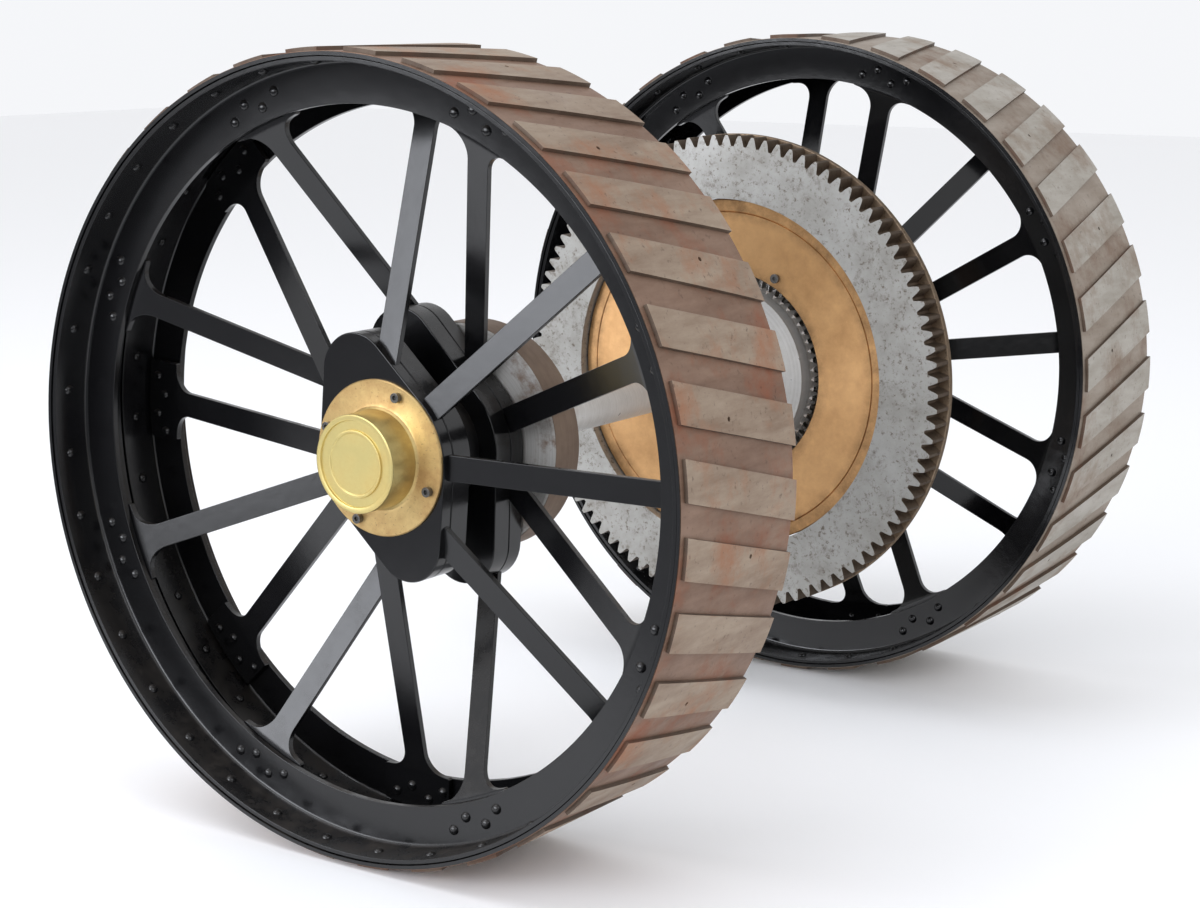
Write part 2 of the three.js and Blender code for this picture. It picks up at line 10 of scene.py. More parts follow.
import bmesh
import bpy
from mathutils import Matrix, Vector


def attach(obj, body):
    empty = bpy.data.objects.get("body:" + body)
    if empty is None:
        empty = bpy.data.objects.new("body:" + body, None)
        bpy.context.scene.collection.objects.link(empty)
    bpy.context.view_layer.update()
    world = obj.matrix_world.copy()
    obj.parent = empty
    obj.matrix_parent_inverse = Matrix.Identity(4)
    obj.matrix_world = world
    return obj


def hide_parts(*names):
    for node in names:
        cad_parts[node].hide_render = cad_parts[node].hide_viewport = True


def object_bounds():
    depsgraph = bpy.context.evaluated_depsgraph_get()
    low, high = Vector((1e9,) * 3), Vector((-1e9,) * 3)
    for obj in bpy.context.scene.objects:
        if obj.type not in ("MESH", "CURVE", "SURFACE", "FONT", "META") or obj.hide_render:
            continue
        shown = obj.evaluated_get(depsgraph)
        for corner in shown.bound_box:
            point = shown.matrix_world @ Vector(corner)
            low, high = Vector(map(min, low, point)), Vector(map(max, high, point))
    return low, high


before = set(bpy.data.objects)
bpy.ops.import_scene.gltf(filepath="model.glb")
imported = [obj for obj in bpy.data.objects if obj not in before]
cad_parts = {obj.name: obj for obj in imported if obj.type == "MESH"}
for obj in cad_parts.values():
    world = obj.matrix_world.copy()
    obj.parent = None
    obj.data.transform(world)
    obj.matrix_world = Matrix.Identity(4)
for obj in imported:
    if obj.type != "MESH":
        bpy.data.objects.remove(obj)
cad_low, cad_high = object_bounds()
random.seed(7)

MM = 0.001

# ---------------------------------------------------------------- sizes, as in the CAD model

HALF_WIDTH = 398
RIM_R = 300
RIM_WIDTH = 146
RIM_PLATE = 3.2
STRAKES = 36
STRAKE_THICK = 3.2
STRAKE_ARC = 5.6
STRAKE_SLANT = 7
STRAKE_MARGIN = 4.5
STRAKE_START = {"near": 4.95, "far": 2.05}
TAPPED_HOLES = {  # first strake with one, then (distance from the outboard edge, degrees off the middle)
    "near": (1, ((63, -1.0), (89, 1.35))),
    "far": (0, ((88, 0.3), (60, -0.3))),
}
SEAT_GAP = 0.3  # between pieces that touch on the real object

FLANGE_R = 296.2
FLANGE_THICK = 3.4
FLANGE_WIDTH = 71
FLANGE_EDGE = 1
WEB_THICK = 5
WEB_INNER_R = 261.8
WEB_FILLET = 3
FLANGE_RIVETS = (15.5, 57.5, 88.5, 130.5)  # rows, from the outboard edge of the rim
RIVET_R = 4.1
FLANGE_RIVET_HEIGHT = 2.7
PALM_RIVET_HEIGHT = 2.9

SPOKES = 8  # to each T ring
SPOKE_HALF = 9.75
SPOKE_THICK = 5
SPOKE_FOOT_DEPTH = 12
PALM_FILLET = 17
PALM_HALF = 32
PALM_INNER_R = 259
PALM_OUTER_R = 289.5
PALM_BEND = 3  # half the length of the soft bend between shank and palm
PALM_RIVETS = ((280.5, -4.8), (272.5, -1.75), (280.5, 1.7), (272.5, 4.7))  # radius, degrees off the palm
SPOKE_PHASE = {"near": {"inner": -2.2, "outer": 21.15}, "far": {"inner": 28.4, "outer": 50.9}}
PALM_PHASE = {"near": {"inner": -1.4, "outer": 21.4}, "far": {"inner": 28.4, "outer": 50.9}}

HUB_LOBE_R = 31.2
HUB_PLATE = {
    "outboard": {"centre": 60, "lobe": 65.4, "from": 53, "to": 85, "seat": 61.7},
    "inboard": {"centre": 62.5, "lobe": 78.6, "from": 113, "to": 147, "seat": 134},
}
HUB_NECK_R = 46
HUB_FACE = 53
HUB_COVER = 11.3
HUB_COVER_SEAM = 0.35
HUB_PLATE_SEAM = 0.4
HUB_BORE_R = 24.4

AXLE_R = 17.5
AXLE_SHORT = 40  # of the outboard edge of the rim
CAP_R = 37.1
CAP_FLANGE_R = 59.4
CAP_FLANGE = 2.5
CAP_FRONT = 22.4
CAP_BORE_R = 33.5
CAP_FRONT_WALL = 4
CAP_SCREWS = 4
CAP_SCREW_R = 51.6
CAP_SCREW_PHASE = 67.8

DISC_R = 90.7
DISC_INNER_FACE = 149.3
DISC_OUTER_FACE = 181.8
DISC_BAND = 6  # depth of the brown edge

GEAR_TEETH = 100
GEAR_TIP_R = 215.9
GEAR_ROOT_R = 206.375
GEAR_BORE_R = 159
GEAR_FACE_Y = 138.7
GEAR_BACK_Y = 166.7
GEAR_SHROUD = 6.5
GEAR_SHROUD_R = 216.1
GEAR_SHROUD_BAND = 12  # depth of the brown rim
CENTRE_R = 158.1
COVER_Y = 148
COVER_THICK = 8
COVER_BORE_R = 92.5
COVER_GROOVE_R = 147
COVER_SCREW_STANDS = 9  # beyond the bore
COVER_SCREW_ANGLE = 62
DRUM_R = 121.5
DRUM_END_Y = 204.7

SIDES = {"near": -1, "far": 1}
ROUND = 192  # facets of a turned piece
RIM_ROUND = 288
SHROUD_ROUND = 300
HUB_ROUND = 160
HOLE_ROUND = 16


def polar(radius, degrees):
    return radius * math.cos(math.radians(degrees)), radius * math.sin(math.radians(degrees))


def along(side, distance):
    """Y of a point that far inboard of a wheel's outboard edge."""
    return side * (HALF_WIDTH - distance)


# ---------------------------------------------------------------- shader helpers


class Shader:
    """A node material with short calls for what the surfaces here share."""

    def __init__(self, name, metallic, roughness):
        self.material = bpy.data.materials.new(name)
        self.material.use_nodes = True
        self.tree = self.material.node_tree
        self.bsdf = self.tree.nodes["Principled BSDF"]
        self.bsdf.inputs["Metallic"].default_value = metallic
        self.bsdf.inputs["Roughness"].default_value = roughness
        self.position = self.node("ShaderNodeTexCoord").outputs["Object"]

    def node(self, kind, **settings):
        made = self.tree.nodes.new(kind)
        for key, value in settings.items():
            setattr(made, key, value)
        return made

    def link(self, source, target):
        self.tree.links.new(source, target)

    def math(self, operation, first, second=None):
        made = self.node("ShaderNodeMath", operation=operation)
        for socket, value in zip(made.inputs, (first, second)):
            if value is None:
                continue
            if isinstance(value, (int, float)):
                socket.default_value = value
            else:
                self.link(value, socket)
        return made.outputs[0]

    def axes(self):
        split = self.node("ShaderNodeSeparateXYZ")
        self.link(self.position, split.inputs[0])
        return split.outputs

    def vector(self, x, y, z):
        made = self.node("ShaderNodeCombineXYZ")
        for socket, value in zip(made.inputs, (x, y, z)):
            if isinstance(value, (int, float)):
                socket.default_value = value
            else:
                self.link(value, socket)
        return made.outputs[0]

    def radius(self):
        x, _, z = self.axes()
        return self.math("SQRT", self.math("ADD", self.math("MULTIPLY", x, x), self.math("MULTIPLY", z, z)))

    def noise(self, scale, detail=4, rough=0.6, vector=None):
        made = self.node("ShaderNodeTexNoise")
        made.inputs["Scale"].default_value = scale
        made.inputs["Detail"].default_value = detail
        made.inputs["Roughness"].default_value = rough
        self.link(vector if vector is not None else self.position, made.inputs["Vector"])
        return made.outputs["Fac"]

    def rings(self, per_metre, detail=3):
        """Fine uneven rings round the axle, as turning leaves on a face."""
        r = self.radius()
        _, y, _ = self.axes()
        return self.noise(per_metre, detail, 0.7, self.vector(r, y, 0))

    def ramp(self, factor, stops):
        made = self.node("ShaderNodeValToRGB")
        elements = made.color_ramp.elements
        while len(elements) < len(stops):
            elements.new(0.5)
        for element, (place, shade) in zip(elements, stops):
            element.position = place
            element.color = (*shade, 1) if isinstance(shade, tuple) else (shade, shade, shade, 1)
        self.link(factor, made.inputs[0])
        return made.outputs[0]

    def mix(self, factor, first, second):
        made = self.node("ShaderNodeMix", data_type="RGBA")
        for key, kind, value in (("Factor", "VALUE", factor), ("A", "RGBA", first), ("B", "RGBA", second)):
            socket = next(s for s in made.inputs if s.name == key and s.type == kind)
            if isinstance(value, tuple):
                socket.default_value = (*value, 1)
            else:
                self.link(value, socket)
        return next(s for s in made.outputs if s.type == "RGBA")

    def colour(self, source):
        self.link(source, self.bsdf.inputs["Base Color"])

    def roughness(self, source):
        self.link(source, self.bsdf.inputs["Roughness"])

    def turned_sheen(self, amount):
        """Stretches the highlight along the turning marks round the axle."""
        self.bsdf.inputs["Anisotropic"].default_value = amount
        tangent = self.node("ShaderNodeTangent", direction_type="RADIAL", axis="Y")
        self.link(tangent.outputs[0], self.bsdf.inputs["Tangent"])

    def bump(self, height, strength, distance_mm, previous=None):
        made = self.node("ShaderNodeBump")
        made.inputs["Strength"].default_value = strength
        made.inputs["Distance"].default_value = distance_mm * MM
        self.link(height, made.inputs["Height"])
        if previous is not None:
            self.link(previous, made.inputs["Normal"])
        self.link(made.outputs[0], self.bsdf.inputs["Normal"])
        return made.outputs[0]


def black_paint(name, rough, dust):
    """Brushed-on gloss paint, with dust lying on what faces up."""
    s = Shader(name, 0.0, rough)
    normal = s.node("ShaderNodeNewGeometry").outputs["Normal"]
    split = s.node("ShaderNodeSeparateXYZ")
    s.link(normal, split.inputs[0])
    patches = s.noise(38, 6, 0.72)
    upward = s.ramp(split.outputs[2], [(0.25, 0.0), (0.95, 1.0)])
    lying = s.math("MULTIPLY", upward, s.ramp(patches, [(0.42, 0.1), (0.66, 1.0)]))
    amount = s.math("MULTIPLY", lying, dust)
    s.colour(s.mix(amount, (0.0035, 0.0035, 0.004), (0.06, 0.047, 0.036)))
    s.roughness(s.ramp(s.math("ADD", s.math("MULTIPLY", patches, 0.16), s.math("MULTIPLY", lying, 0.5)),
                       [(0.0, rough - 0.08), (0.6, rough + 0.32)]))
    waves = s.bump(s.noise(95, 3, 0.5), 0.16, 0.5)
    s.bump(s.noise(900, 2, 0.5), 0.07, 0.15, waves)
    return s.material


def tread_steel(name, clean, stained, rust, metallic=0.55):
    """Bare rolled strip with brown rust in patches and streaks along the rolling direction."""
    s = Shader(name, metallic, 0.55)
    x, y, z = s.axes()
    turn = s.math("MULTIPLY", s.math("ARCTAN2", z, x), 0.3)
    streaks = s.noise(55, 5, 0.65, s.vector(turn, s.math("MULTIPLY", y, 0.22), 0.3))
    patches = s.noise(17, 7, 0.68)
    spots = s.noise(210, 4, 0.7)
    base = s.mix(s.ramp(streaks, [(0.36, 0.0), (0.68, 1.0)]), clean, stained)
    rusted = s.mix(s.ramp(patches, [(0.5, 0.0), (0.7, 0.85)]), base, rust)
    s.colour(s.mix(s.ramp(spots, [(0.6, 0.0), (0.72, 0.6)]), rusted, (0.07, 0.035, 0.022)))
    s.roughness(s.ramp(patches, [(0.3, 0.42), (0.7, 0.72)]))
    wide = s.bump(streaks, 0.25, 0.25)
    s.bump(spots, 0.35, 0.2, wide)
    return s.material


def gear_steel(name, light, dark, speck):
    """Dull machined steel with dark freckles."""
    s = Shader(name, 0.75, 0.42)
    cloud = s.noise(22, 6, 0.65)
    freckles = s.noise(240, 5, 0.75)
    base = s.mix(s.ramp(cloud, [(0.35, 0.0), (0.7, 1.0)]), light, dark)
    stained = s.mix(s.ramp(s.noise(75, 6, 0.75), [(0.55, 0.0), (0.72, 0.6)]), base, speck)
    s.colour(s.mix(s.ramp(freckles, [(0.55, 0.0), (0.66, 0.8)]), stained, speck))
    s.roughness(s.ramp(cloud, [(0.3, 0.36), (0.7, 0.52)]))
    fine = s.bump(s.rings(1500), 0.12, 0.1)
    s.bump(freckles, 0.2, 0.12, fine)
    return s.material


def turned_metal(name, light, dark, rough, metallic):
    """Turned metal with fine rings and a little tarnish."""
    s = Shader(name, metallic, rough)
    rings = s.rings(900)
    cloud = s.noise(30, 6, 0.66)
    blend = s.math("ADD", s.math("MULTIPLY", rings, 0.45), s.math("MULTIPLY", cloud, 0.6))
    s.colour(s.mix(s.ramp(blend, [(0.38, 0.0), (0.72, 1.0)]), light, dark))
    s.roughness(s.ramp(cloud, [(0.3, rough - 0.06), (0.7, rough + 0.12)]))
    s.bump(rings, 0.2, 0.1)
    return s.material


def by_radius(s, marks):
    """A ramp over the distance from the axle: [(millimetres, shade)]."""
    ramp_per_metre = 5.0
    places = [(mm * MM * ramp_per_metre, shade) for mm, shade in marks]
    return s.ramp(s.math("MULTIPLY", s.radius(), ramp_per_metre), places)


def cap_brass(name):
    """Lemon brass on the cap, browner and freckled on its flange."""
    s = Shader(name, 0.8, 0.36)
    flange = by_radius(s, [(36.5, 0.0), (39.5, 1.0)])
    cloud = s.noise(34, 6, 0.7)
    freckles = s.noise(420, 4, 0.7)
    clean = s.mix(s.ramp(cloud, [(0.4, 0.0), (0.7, 1.0)]), (0.66, 0.55, 0.225), (0.58, 0.44, 0.165))
    dull = s.mix(s.ramp(cloud, [(0.38, 0.0), (0.66, 1.0)]), (0.64, 0.46, 0.2), (0.42, 0.26, 0.105))
    base = s.mix(flange, clean, dull)
    speck = s.math("MULTIPLY", s.ramp(freckles, [(0.6, 0.0), (0.7, 0.75)]), flange)
    s.colour(s.mix(speck, base, (0.14, 0.075, 0.035)))
    s.roughness(s.ramp(cloud, [(0.3, 0.33), (0.7, 0.47)]))
    rings = s.bump(s.rings(800), 0.1, 0.1)
    s.bump(s.noise(260, 3, 0.6), 0.12, 0.12, rings)
    return s.material


def cover_bronze(name):
    """Brown bronze, stained round its bore and outside its groove."""
    s = Shader(name, 0.8, 0.4)
    cloud = s.noise(20, 7, 0.7)
    clean = s.mix(s.ramp(cloud, [(0.36, 0.0), (0.66, 1.0)]), (0.7, 0.41, 0.185), (0.5, 0.28, 0.12))
    edge = by_radius(s, [(93, 0.85), (104, 0.12), (138, 0.05), (147, 0.75)])
    stain = s.math("MULTIPLY", edge, s.ramp(s.noise(48, 6, 0.75), [(0.38, 0.15), (0.66, 1.0)]))
    s.colour(s.mix(stain, clean, (0.2, 0.11, 0.05)))
    s.roughness(s.ramp(cloud, [(0.3, 0.34), (0.7, 0.5)]))
    s.turned_sheen(0.75)
    s.bump(s.rings(600), 0.2, 0.1)
    return s.material


def disc_steel(name):
    """Bright turned face with brown rust in patches."""
    s = Shader(name, 0.35, 0.4)
    patches = s.noise(24, 6, 0.72)
    rings = s.rings(700)
    steel = s.mix(s.ramp(rings, [(0.35, 0.0), (0.7, 1.0)]), (0.6, 0.59, 0.57), (0.42, 0.4, 0.37))
    s.colour(s.mix(s.ramp(patches, [(0.5, 0.0), (0.64, 0.9)]), steel, (0.2, 0.12, 0.075)))
    s.roughness(s.ramp(patches, [(0.4, 0.34), (0.7, 0.6)]))
    s.turned_sheen(0.6)
    s.bump(rings, 0.2, 0.1)
    return s.material


PAINT_NEAR = black_paint("near_black_paint", 0.25, 0.35)
PAINT_FAR = black_paint("far_black_paint", 0.15, 0.08)
PAINT_HUB = black_paint("hub_black_paint", 0.22, 0.3)
PAINT_DUSTY = black_paint("dusty_black_paint", 0.5, 1.2)
TREAD_NEAR = tread_steel("near_tread", (0.345, 0.27, 0.2), (0.22, 0.15, 0.103), (0.33, 0.155, 0.085))
PLATE_NEAR = tread_steel("near_rim_plate", (0.25, 0.16, 0.112), (0.165, 0.095, 0.062), (0.26, 0.095, 0.05))
# Dark colour for the strakes' side walls: painted shadow along each strake's edge, together with some dirt.
STRAKE_EDGE_SHADE_AND_DIRT = tread_steel("strake_edge_shade_and_dirt", (0.12, 0.085, 0.06), (0.07, 0.045, 0.03), (0.13, 0.055, 0.03), 0.3)
TREAD_FAR = tread_steel("far_tread", (0.42, 0.39, 0.345), (0.3, 0.27, 0.225), (0.24, 0.17, 0.12), 0.6)
PLATE_FAR = tread_steel("far_rim_plate", (0.33, 0.28, 0.23), (0.24, 0.19, 0.145), (0.2, 0.125, 0.085), 0.6)
GEAR = gear_steel("gear_face_steel", (0.43, 0.425, 0.405), (0.29, 0.28, 0.255), (0.1, 0.07, 0.045))
TEETH = gear_steel("gear_tooth_steel", (0.17, 0.13, 0.095), (0.09, 0.062, 0.043), (0.04, 0.025, 0.016))
SHROUD = gear_steel("gear_shroud_steel", (0.3, 0.225, 0.155), (0.2, 0.14, 0.09), (0.08, 0.05, 0.03))
BRIGHT = turned_metal("bright_turned_steel", (0.66, 0.65, 0.63), (0.44, 0.42, 0.39), 0.3, metallic=0.65)
DISC_FACE = disc_steel("disc_face_steel")
RUSTY_SIDE = turned_metal("rusty_turned_steel", (0.21, 0.145, 0.1), (0.12, 0.078, 0.055), 0.6, metallic=0.4)
BRASS = cap_brass("yellow_brass")
BRONZE = cover_bronze("turned_bronze")
IRON = turned_metal("machined_iron", (0.2, 0.19, 0.18), (0.11, 0.1, 0.095), 0.55, metallic=0.6)
SCREW = turned_metal("dark_screw", (0.2, 0.195, 0.19), (0.07, 0.068, 0.065), 0.28, metallic=0.85)


# ---------------------------------------------------------------- mesh helpers


def piece(name, parts, body, replaces=(), bevel_mm=0.0, sharp=35):
    """One object from [(vertices, faces, material)], vertices in millimetres."""
    mesh = bpy.data.meshes.new(name)
    vertices, faces, indices = [], [], []
    for number, (points, polygons, material) in enumerate(parts):
        start = len(vertices)
        vertices += [(x * MM, y * MM, z * MM) for x, y, z in points]
        faces += [tuple(start + i for i in polygon) for polygon in polygons]
        indices += [number] * len(polygons)
        mesh.materials.append(material)
    mesh.from_pydata(vertices, [], faces)
    mesh.polygons.foreach_set("material_index", indices)
    tidy = bmesh.new()
    tidy.from_mesh(mesh)
    bmesh.ops.remove_doubles(tidy, verts=tidy.verts, dist=1e-6)
    bmesh.ops.recalc_face_normals(tidy, faces=tidy.faces)
    tidy.to_mesh(mesh)
    tidy.free()
    mesh.shade_smooth()
    mesh.set_sharp_from_angle(angle=math.radians(sharp))
    obj = bpy.data.objects.new(name, mesh)
    bpy.context.collection.objects.link(obj)
    if bevel_mm:
        soften(obj, bevel_mm)
    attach(obj, body)
    if replaces:
        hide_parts(*replaces)
    return obj


def soften(obj, width_mm, angle=35):
    """Rounds the edges that are sharper than an angle in degrees."""
    bevel = obj.modifiers.new("edge", "BEVEL")
    bevel.width = width_mm * MM
    bevel.segments = 2
    bevel.limit_method = "ANGLE"
    bevel.angle_limit = math.radians(angle)
    bevel.harden_normals = True


def lathe(profile, segments=ROUND):
    """A closed outline of (radius, y) turned round the Y axis. Points on the axis close it."""
    vertices, rows = [], []
    for radius, y in profile:
        if radius == 0:
            rows.append([len(vertices)] * segments)
            vertices.append((0, y, 0))
            continue
        rows.append(list(range(len(vertices), len(vertices) + segments)))
        for k in range(segments):
            x, z = polar(radius, 360 * k / segments)
            vertices.append((x, y, z))
    faces = []
    for first, second in zip(rows, rows[1:] + rows[:1]):
        for k in range(segments):
            n = (k + 1) % segments
            corners = []
            for index in (first[k], first[n], second[n], second[k]):
                if index not in corners:
                    corners.append(index)
            if len(corners) > 2:
                faces.append(tuple(corners))
    return vertices, faces


def slab_faces(rows, columns):
    """Faces of a bent slab: two grids of points, row by row, and the walls between their borders."""
    wide = columns + 1
    layer = wide * (rows + 1)
    faces = []
    for base in (0, layer):
        for row in range(rows):
            for column in range(columns):
                a = base + row * wide + column
                faces.append((a, a + 1, a + 1 + wide, a + wide))
    border = list(range(wide)) + [row * wide + columns for row in range(1, rows + 1)]
    border += [rows * wide + column for column in range(columns - 1, -1, -1)]
    border += [row * wide for row in range(rows - 1, 0, -1)]
    for a, b in zip(border, border[1:] + border[:1]):
        faces.append((a, b, b + layer, a + layer))
    return faces


def ring_plate(outer, inner, low, high):
    """A plate between two loops of (x, z) with the same number of points."""
    count = len(outer)
    vertices = [(x, y, z) for loop in (outer, inner) for y in (low, high) for x, z in loop]
    rows = [0, count, 3 * count, 2 * count]
    faces = []
    for a, b in zip(rows, rows[1:] + rows[:1]):
        faces += [(a + k, a + (k + 1) % count, b + (k + 1) % count, b + k) for k in range(count)]
    return vertices, faces


def dome(centre, normal, radius, height, sides=14, rows=4):
    """A snap rivet head standing on a surface."""
    up = Vector(normal).normalized()
    across = up.orthogonal().normalized()
    over = up.cross(across)
    vertices, faces = [], []
    for row in range(rows):
        lift = math.pi / 2 * row / rows
        for k in range(sides):
            turn = 2 * math.pi * k / sides
            spread = across * math.cos(turn) + over * math.sin(turn)
            vertices.append(Vector(centre) + spread * radius * math.cos(lift) + up * height * math.sin(lift))
    vertices.append(Vector(centre) + up * height)
    for row in range(rows - 1):
        for k in range(sides):
            a, b = row * sides + k, row * sides + (k + 1) % sides
            faces.append((a, b, b + sides, a + sides))
    top = (rows - 1) * sides
    faces += [(top + k, top + (k + 1) % sides, len(vertices) - 1) for k in range(sides)]
    faces.append(tuple(range(sides))[::-1])
    return [tuple(v) for v in vertices], faces


def joined(shapes):
    """One (vertices, faces) from several."""
    vertices, faces = [], []
    for points, polygons in shapes:
        start = len(vertices)
        vertices += points
        faces += [tuple(start + i for i in polygon) for polygon in polygons]
    return vertices, faces


def turned(shape, degrees):
    """A shape turned round the axle, from +X towards +Z."""
    c, s = math.cos(math.radians(degrees)), math.sin(math.radians(degrees))
    points, faces = shape
    return [(x * c - z * s, y, x * s + z * c) for x, y, z in points], faces


# ---------------------------------------------------------------- wheels


def strake_middle(label, side, number, y):
    """Angle of the middle of a strake at a place along the axle."""
    low = min(along(side, 0), along(side, RIM_WIDTH)) + STRAKE_MARGIN
    share = (y - low) / (RIM_WIDTH - STRAKE_MARGIN)
    return STRAKE_START[label] + number * 360 / STRAKES + side * STRAKE_SLANT * share


def strake(label, side, number):
    """One slanted strip that follows the rim, with slightly uneven ends."""
    low = min(along(side, 0), along(side, RIM_WIDTH)) + STRAKE_MARGIN
    length = RIM_WIDTH - STRAKE_MARGIN
    rows, columns = 10, 4
    wander = [random.uniform(-0.25, 0.25) for _ in range(2)]
    vertices = []
    for radius in (RIM_R + 0.05, RIM_R + STRAKE_THICK - random.uniform(0.0, 0.35)):
        for row in range(rows + 1):
            share = row / rows
            y = low + length * share
            if row == 0:
                y += abs(wander[0]) * 4
            if row == rows:
                y -= abs(wander[1]) * 2
            for column in range(columns + 1):
                offset = (column / columns - 0.5) * STRAKE_ARC
                angle = strake_middle(label, side, number, low + length * share) + offset
                angle += wander[0] * (1 - share) + wander[1] * share
                x, z = polar(radius, angle)
                vertices.append((x, y, z))
    return vertices, slab_faces(rows, columns)


def t_ring(side, start):
    """T section ring with fillets where its web meets its flange."""
    def at(distance):
        return along(side, start + distance)
    inside = FLANGE_R - FLANGE_THICK
    near_web = (FLANGE_WIDTH - WEB_THICK) / 2
    far_web = near_web + WEB_THICK
    fillet = []
    for k in range(5):
        a = math.pi / 2 * k / 4
        fillet.append((WEB_FILLET * (1 - math.sin(a)), WEB_FILLET * (1 - math.cos(a))))
    profile = [(FLANGE_R, at(0)), (inside, at(0))]
    profile += [(inside - drop, at(near_web - back)) for back, drop in fillet]
    profile += [(WEB_INNER_R, at(near_web)), (WEB_INNER_R, at(far_web))]
    profile += [(inside - drop, at(far_web + back)) for back, drop in reversed(fillet)]
    profile += [(inside, at(FLANGE_WIDTH)), (FLANGE_R, at(FLANGE_WIDTH))]
    return lathe(profile, RIM_ROUND)


def spoke_half_width(radius):
    """Half the width of a spoke, which flares through a fillet into its palm."""
    start = PALM_INNER_R - PALM_FILLET
    if radius <= start:
        return SPOKE_HALF
    if radius < PALM_INNER_R:
        return SPOKE_HALF + PALM_FILLET - math.sqrt(PALM_FILLET ** 2 - (radius - start) ** 2)
    return PALM_HALF


def along_shank(distance):
    """Distance down the sloping shank from its bend, 0 on the flat palm, eased through the bend."""
    if distance > PALM_BEND:
        return distance
    if distance < -PALM_BEND:
        return 0
    return (distance + PALM_BEND) ** 2 / (4 * PALM_BEND)


def spoke(edge_r, seat_y, palm_y):
    """A flat bar along +X that slopes from the hub plate's edge and is forged into a wide flat palm."""
    slope = (palm_y - seat_y) / (PALM_INNER_R - edge_r)
    fillet_start = PALM_INNER_R - PALM_FILLET
    stations = [(r, SPOKE_HALF) for r in (edge_r - SPOKE_FOOT_DEPTH, 140, 190, 230)]
    for k in range(11):
        r = fillet_start + PALM_FILLET * math.sin(math.pi / 2 * k / 10)
        stations.append((r, spoke_half_width(min(r, PALM_INNER_R - 1e-6))))
    stations += [(PALM_INNER_R + 0.4, PALM_HALF - 1.2), (PALM_INNER_R + 1.6, PALM_HALF)]
    stations += [(r, PALM_HALF) for r in (PALM_INNER_R + 3, 270, 280, PALM_OUTER_R - 1.5)]
    stations.append((PALM_OUTER_R, PALM_HALF - 1.5))
    columns = 8
    vertices = []
    for lift in (-SPOKE_THICK / 2, SPOKE_THICK / 2):
        for r, half in stations:
            y = palm_y - slope * along_shank(PALM_INNER_R - r) + lift
            for column in range(columns + 1):
                z = half * (2 * column / columns - 1)
                bow = max(0, (r - fillet_start) / (PALM_OUTER_R - fillet_start))
                x = r - bow * (r - math.sqrt(r * r - z * z))
                vertices.append((x, y, z))
    return vertices, slab_faces(len(stations) - 1, columns)


def hub_edge(size, degrees):
    """Reach of a hub plate, the hull of its round centre and two lobes, at an angle from a lobe."""
    centre, offset = size["centre"], size["lobe"]
    tangent = math.acos((centre - HUB_LOBE_R) / offset)
    flat_from = math.atan2(HUB_LOBE_R * math.sin(tangent), offset + HUB_LOBE_R * math.cos(tangent))
    off = abs(math.radians((degrees + 90) % 180 - 90))
    if off >= tangent:
        return centre
    if off >= flat_from:
        return centre / math.cos(tangent - off)
    return offset * math.cos(off) + math.sqrt(HUB_LOBE_R ** 2 - (offset * math.sin(off)) ** 2)


def hub_outline(size, lobe_angle):
    angles = [360 * k / HUB_ROUND for k in range(HUB_ROUND)]
    return [polar(hub_edge(size, angle - lobe_angle), angle) for angle in angles]


def hub(label, side, body, lobe_angle):
    """The two lobed plates with their neck, and the cover plate in front."""
    inner = [polar(HUB_BORE_R, 360 * k / HUB_ROUND) for k in range(HUB_ROUND)]
    front, back = HUB_PLATE["outboard"], HUB_PLATE["inboard"]

    def layer(size, start, end):
        low, high = sorted((along(side, start), along(side, end)))
        return ring_plate(hub_outline(size, lobe_angle), inner, low, high)

    into_plates = 10
    neck_from, neck_to = along(side, front["to"] - into_plates), along(side, back["from"] + into_plates)
    neck = lathe([(HUB_BORE_R, neck_from), (HUB_NECK_R, neck_from),
                  (HUB_NECK_R, neck_to), (HUB_BORE_R, neck_to)])
    seam = back["seat"] - SPOKE_THICK / 2
    casting = joined([
        layer(front, HUB_FACE + HUB_COVER + HUB_COVER_SEAM, front["to"]),
        layer(back, back["from"], seam - HUB_PLATE_SEAM / 2),
        layer(back, seam + HUB_PLATE_SEAM / 2, back["to"]),
    ])
    piece(f"{label}_hub_visual", [(*casting, PAINT_HUB), (*neck, PAINT_DUSTY)], body,
          [f"{label}_hub"], 0.9)
    cover = layer(front, HUB_FACE, HUB_FACE + HUB_COVER)
    piece(f"{label}_hub_cover_visual", [(*cover, PAINT_HUB)], body,
          [f"{label}_hub_cover"], 0.9)


